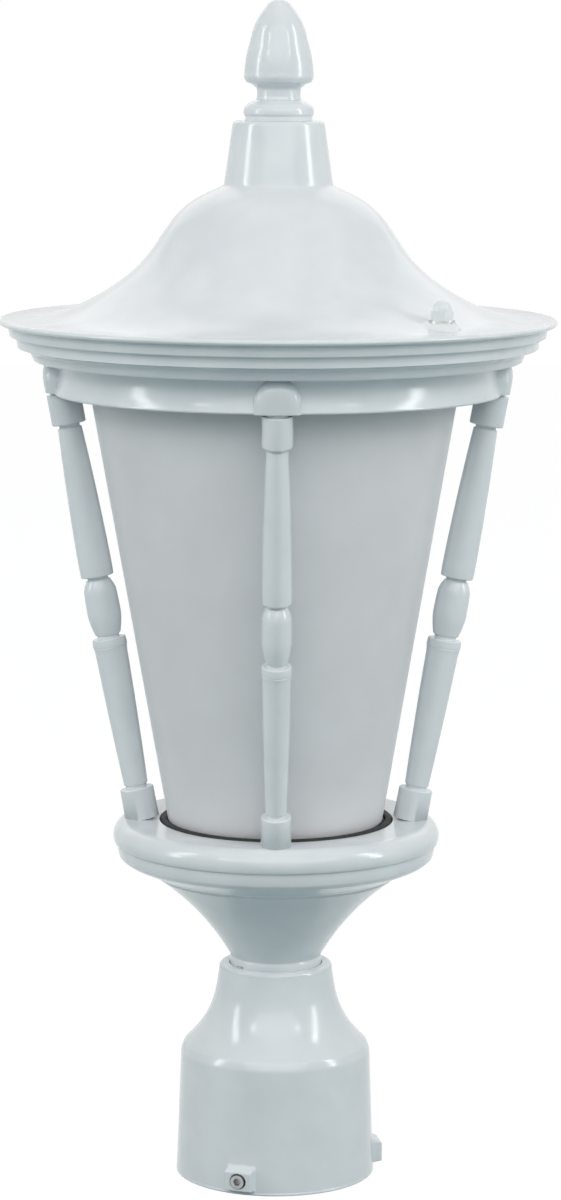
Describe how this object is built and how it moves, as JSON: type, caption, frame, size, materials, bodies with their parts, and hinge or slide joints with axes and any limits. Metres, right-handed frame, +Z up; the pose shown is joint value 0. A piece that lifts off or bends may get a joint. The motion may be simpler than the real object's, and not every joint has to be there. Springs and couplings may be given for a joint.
{
  "type": "post top lantern",
  "caption": "White cast post top lantern: bell roof with finial, stepped cornice, turned leaning spindles round a conical satin diffuser, bowl pedestal and socket for a round post.",
  "frame": {"origin": "centre of the fitter's bottom rim, on the post's axis", "axes": "+Z up along the post's axis, front towards -Y, +X to the right of someone facing the front"},
  "size_m": [0.2354, 0.2352, 0.5013],
  "materials": {
    "enamel": "gloss white stove enamel on cast aluminium",
    "diffuser": "satin opal acrylic",
    "gasket": "matt black rubber",
    "foam": "white silicone foam",
    "plated_steel": "bright zinc plate",
    "set_screw_steel": "stainless steel",
    "porcelain": "white glazed porcelain",
    "brass": "plain brass",
    "lamp_metal": "drawn aluminium",
    "lamp_glass": "frosted glass"
  },
  "bodies": {
    "post_head": {"fitter": "enamel", "locating_pin": "plated_steel", "pedestal": "enamel", "tray": "enamel", "flange_screws": "plated_steel", "lens_gasket": "gasket", "foot_screws": "plated_steel", "head_screws": "plated_steel", "cornice": "enamel", "roof_studs": "plated_steel", "nipple": "plated_steel", "fitter_washer": "plated_steel", "fitter_locknut": "plated_steel", "pedestal_washer": "plated_steel", "pedestal_locknut": "plated_steel", "bracket_locknut": "plated_steel", "holder_locknut": "plated_steel", "socket_bracket": "plated_steel", "earth_screw": "brass", "holder_screws": "plated_steel", "socket_body": "porcelain", "screw_shell": "brass", "centre_contact": "brass", "terminal_screws": "brass", "spindle_front": "enamel", "spindle_right": "enamel", "spindle_back": "enamel", "spindle_left": "enamel"},
    "roof": {"roof": "enamel", "roof_gasket": "foam", "finial_stud": "plated_steel", "finial_washer": "plated_steel", "finial_nut": "plated_steel"},
    "diffuser": {"lens": "diffuser"},
    "lamp": {"lamp_cap": "lamp_metal", "lamp_tip": "brass", "lamp_glass": "lamp_glass"},
    "finial_collar": {"finial_collar": "enamel"},
    "finial": {"finial": "enamel"},
    "cap_nut_right": {"cap_nut_right": "enamel", "cap_washer_right": "plated_steel"},
    "cap_nut_left": {"cap_nut_left": "enamel", "cap_washer_left": "plated_steel"},
    "set_screw_front": {"set_screw_front": "set_screw_steel"},
    "set_screw_right": {"set_screw_right": "set_screw_steel"},
    "set_screw_rear": {"set_screw_rear": "set_screw_steel"}
  },
  "joints": [
    {"name": "roof_lift", "type": "slide", "parent": "post_head", "child": "roof", "axis": [0, 0, 1], "range_m": [0, 0.27]},
    {"name": "lens_lift", "type": "slide", "parent": "post_head", "child": "diffuser", "axis": [0, 0, 1], "range_m": [0, 0.2295]},
    {"name": "lamp_draw", "type": "slide", "parent": "post_head", "child": "lamp", "axis": [0, 0, 1], "range_m": [0, 0.028]},
    {"name": "finial_rise", "type": "slide", "parent": "roof", "child": "finial_collar", "axis": [0, 0, 1], "range_m": [0, 0.0163]},
    {"name": "finial_turn", "type": "hinge", "parent": "finial_collar", "child": "finial", "pos_m": [0, 0, 0.47], "axis": [0, 0, 1], "range_deg": [0, 4680]},
    {"name": "cap_draw_right", "type": "slide", "parent": "roof", "child": "cap_nut_right", "axis": [0, 0, 1], "range_m": [0, 0.0057]},
    {"name": "cap_draw_left", "type": "slide", "parent": "roof", "child": "cap_nut_left", "axis": [0, 0, 1], "range_m": [0, 0.0057]},
    {"name": "set_screw_front_drive", "type": "slide", "parent": "post_head", "child": "set_screw_front", "axis": [0.342, 0.9397, 0], "range_m": [-0.004, 0.005]},
    {"name": "set_screw_right_drive", "type": "slide", "parent": "post_head", "child": "set_screw_right", "axis": [-0.9848, -0.1736, 0], "range_m": [-0.004, 0.005]},
    {"name": "set_screw_rear_drive", "type": "slide", "parent": "post_head", "child": "set_screw_rear", "axis": [0.6428, -0.766, 0], "range_m": [-0.004, 0.005]}
  ],
  "couplings": [
    {"joint": "lens_lift", "follows": "roof_lift", "ratio": 0.85},
    {"joint": "finial_rise", "follows": "finial_turn", "m_per_rad": 0.00019894}
  ]
}
